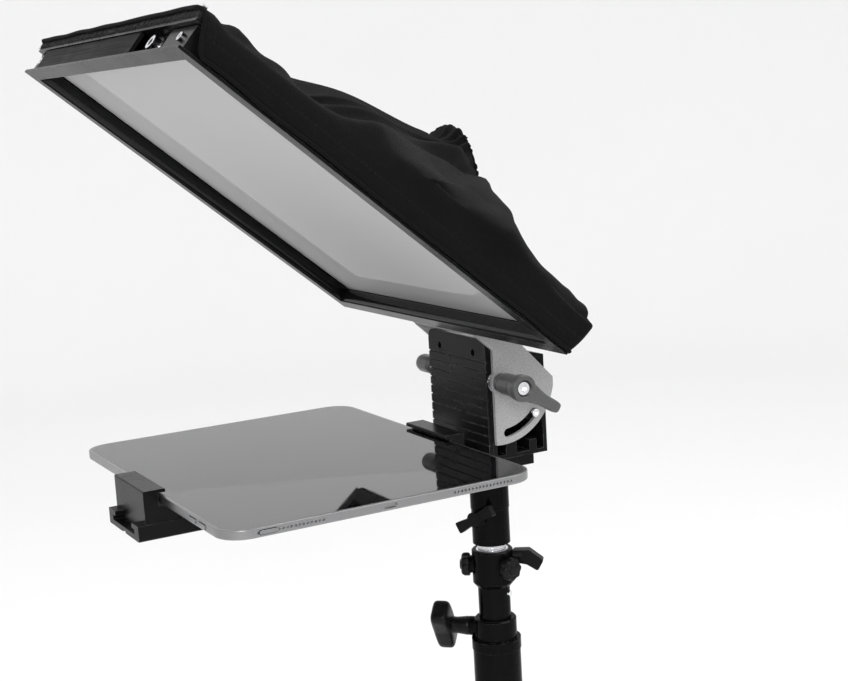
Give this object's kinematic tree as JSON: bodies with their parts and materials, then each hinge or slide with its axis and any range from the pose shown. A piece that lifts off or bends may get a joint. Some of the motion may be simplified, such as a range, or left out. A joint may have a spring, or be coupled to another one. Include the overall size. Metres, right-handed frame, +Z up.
{
  "type": "teleprompter",
  "caption": "Teleprompter with a tilted square beam-splitter glass and cloth hood over a clamped tablet, on a height-adjustable three-legged stand.",
  "frame": {"origin": "on the floor, at the centre of the box around the whole object at rest", "axes": "+Z up, -Y towards the speaker, +Y towards the camera, +X to the speaker's right as seen from the front"},
  "size_m": [0.6902, 0.602, 1.1943],
  "materials": {
    "stand_black": "gloss",
    "black_plastic": "satin",
    "bright_steel": "polished",
    "foot_rubber": "matte",
    "black_anodised": "satin",
    "satin_strip": "satin",
    "clamp_foam": "matte",
    "grey_powder": "satin",
    "grey_plastic": "satin",
    "splitter_glass": "gloss",
    "hood_cloth": "matte",
    "hook_pile": "matte",
    "tablet_metal": "satin",
    "tablet_glass": "gloss"
  },
  "bodies": {
    "stand": {"column_tube": "stand_black", "lock_collar": "stand_black", "hub_stop_ring": "stand_black", "leg_front": "stand_black", "foot_front": "foot_rubber"},
    "leg_left": {"leg_left": "stand_black", "foot_left": "foot_rubber"},
    "leg_right": {"leg_right": "stand_black", "foot_right": "foot_rubber"},
    "t_handle": {"t_handle": "black_plastic"},
    "riser": {"riser_tube": "stand_black", "riser_bush": "black_plastic", "riser_collar": "stand_black", "riser_screw": "bright_steel", "spigot": "bright_steel"},
    "collar_knob_a": {"collar_knob_a": "black_plastic"},
    "collar_knob_b": {"collar_knob_b": "black_plastic"},
    "spigot_lever": {"spigot_lever": "black_plastic"},
    "head": {"socket_tube": "stand_black", "flange_screws": "bright_steel", "rail": "black_anodised", "slot_nut": "black_anodised", "bracket_block": "black_anodised", "finned_plate": "black_anodised", "rear_clamp": "black_anodised", "rear_clamp_pad": "clamp_foam", "pivot_bolt": "bright_steel", "pivot_washers": "bright_steel", "stop_screws": "bright_steel"},
    "wing_bolt": {"wing_bolt": "black_plastic"},
    "front_clamp": {"front_clamp": "black_anodised", "front_clamp_pad": "clamp_foam"},
    "tablet": {"tablet_case": "tablet_metal", "tablet_screen": "tablet_glass"},
    "power_button": {"power_button": "tablet_metal"},
    "volume_up_button": {"volume_up_button": "tablet_metal"},
    "volume_down_button": {"volume_down_button": "tablet_metal"},
    "mirror": {"yoke_plate_right": "grey_powder", "yoke_plate_left": "grey_powder", "yoke_bridge": "grey_powder", "bridge_screws": "bright_steel", "frame_rail_top": "black_anodised", "frame_rail_left": "black_anodised", "frame_rail_bottom": "black_anodised", "frame_rail_right": "black_anodised", "corner_brackets": "black_anodised", "corner_screws": "bright_steel", "cover_strip": "satin_strip", "accessory_bolt": "bright_steel", "beam_splitter_glass": "splitter_glass", "glass_gasket": "clamp_foam", "hook_strip": "hook_pile", "hood_top": "hood_cloth", "hood_bottom": "hood_cloth", "hood_left": "hood_cloth", "hood_right": "hood_cloth", "hood_cuff": "hood_cloth"},
    "tilt_lever": {"tilt_lever": "grey_plastic", "lever_screw": "bright_steel"},
    "tilt_knob": {"tilt_knob": "grey_plastic"}
  },
  "joints": [
    {"name": "leg_left_swing", "type": "hinge", "parent": "stand", "child": "leg_left", "pos_m": [0, 0.095, 0.176], "axis": [0, 0, 1], "range_deg": [0, 100]},
    {"name": "leg_right_swing", "type": "hinge", "parent": "stand", "child": "leg_right", "pos_m": [0, 0.095, 0.148], "axis": [0, 0, 1], "range_deg": [-100, 0]},
    {"name": "t_handle_turn", "type": "hinge", "parent": "stand", "child": "t_handle", "pos_m": [0, 0.095, 0.7425], "axis": [-0.7071, -0.7071, 0], "continuous": true},
    {"name": "riser_lift", "type": "slide", "parent": "stand", "child": "riser", "axis": [0, 0, 1], "range_m": [0, 0.3]},
    {"name": "collar_knob_a_turn", "type": "hinge", "parent": "riser", "child": "collar_knob_a", "pos_m": [0, 0.095, 0.792], "axis": [0.9848, 0.1736, 0], "continuous": true},
    {"name": "collar_knob_b_turn", "type": "hinge", "parent": "riser", "child": "collar_knob_b", "pos_m": [0, 0.095, 0.792], "axis": [-0.6018, -0.7986, 0], "continuous": true},
    {"name": "spigot_lever_turn", "type": "hinge", "parent": "riser", "child": "spigot_lever", "pos_m": [0, 0.095, 0.7984], "axis": [0.6157, 0.788, 0], "range_deg": [0, 35]},
    {"name": "head_pan", "type": "hinge", "parent": "riser", "child": "head", "pos_m": [0, 0.095, 0.83], "axis": [0, 0, 1], "continuous": true},
    {"name": "wing_bolt_turn", "type": "hinge", "parent": "head", "child": "wing_bolt", "pos_m": [0, 0.095, 0.832], "axis": [0.4226, -0.9063, 0], "continuous": true},
    {"name": "front_clamp_slide", "type": "slide", "parent": "head", "child": "front_clamp", "axis": [0, -1, 0], "range_m": [0, 0.02]},
    {"name": "tablet_slide", "type": "slide", "parent": "head", "child": "tablet", "axis": [1, 0, 0], "range_m": [-0.12, 0.12]},
    {"name": "power_press", "type": "slide", "parent": "tablet", "child": "power_button", "axis": [-1, 0, 0], "range_m": [0, 0.0005], "stiffness_N_per_m": 800},
    {"name": "volume_up_press", "type": "slide", "parent": "tablet", "child": "volume_up_button", "axis": [0, 1, 0], "range_m": [0, 0.0005], "stiffness_N_per_m": 800},
    {"name": "volume_down_press", "type": "slide", "parent": "tablet", "child": "volume_down_button", "axis": [0, 1, 0], "range_m": [0, 0.0005], "stiffness_N_per_m": 800},
    {"name": "mirror_tilt", "type": "hinge", "parent": "head", "child": "mirror", "pos_m": [0, 0.082, 0.939], "axis": [1, 0, 0], "range_deg": [0, 39.5]},
    {"name": "tilt_lever_turn", "type": "hinge", "parent": "head", "child": "tilt_lever", "pos_m": [0, 0.082, 0.939], "axis": [1, 0, 0], "range_deg": [-30, 60]},
    {"name": "tilt_knob_turn", "type": "hinge", "parent": "head", "child": "tilt_knob", "pos_m": [0, 0.082, 0.939], "axis": [1, 0, 0], "continuous": true}
  ]
}
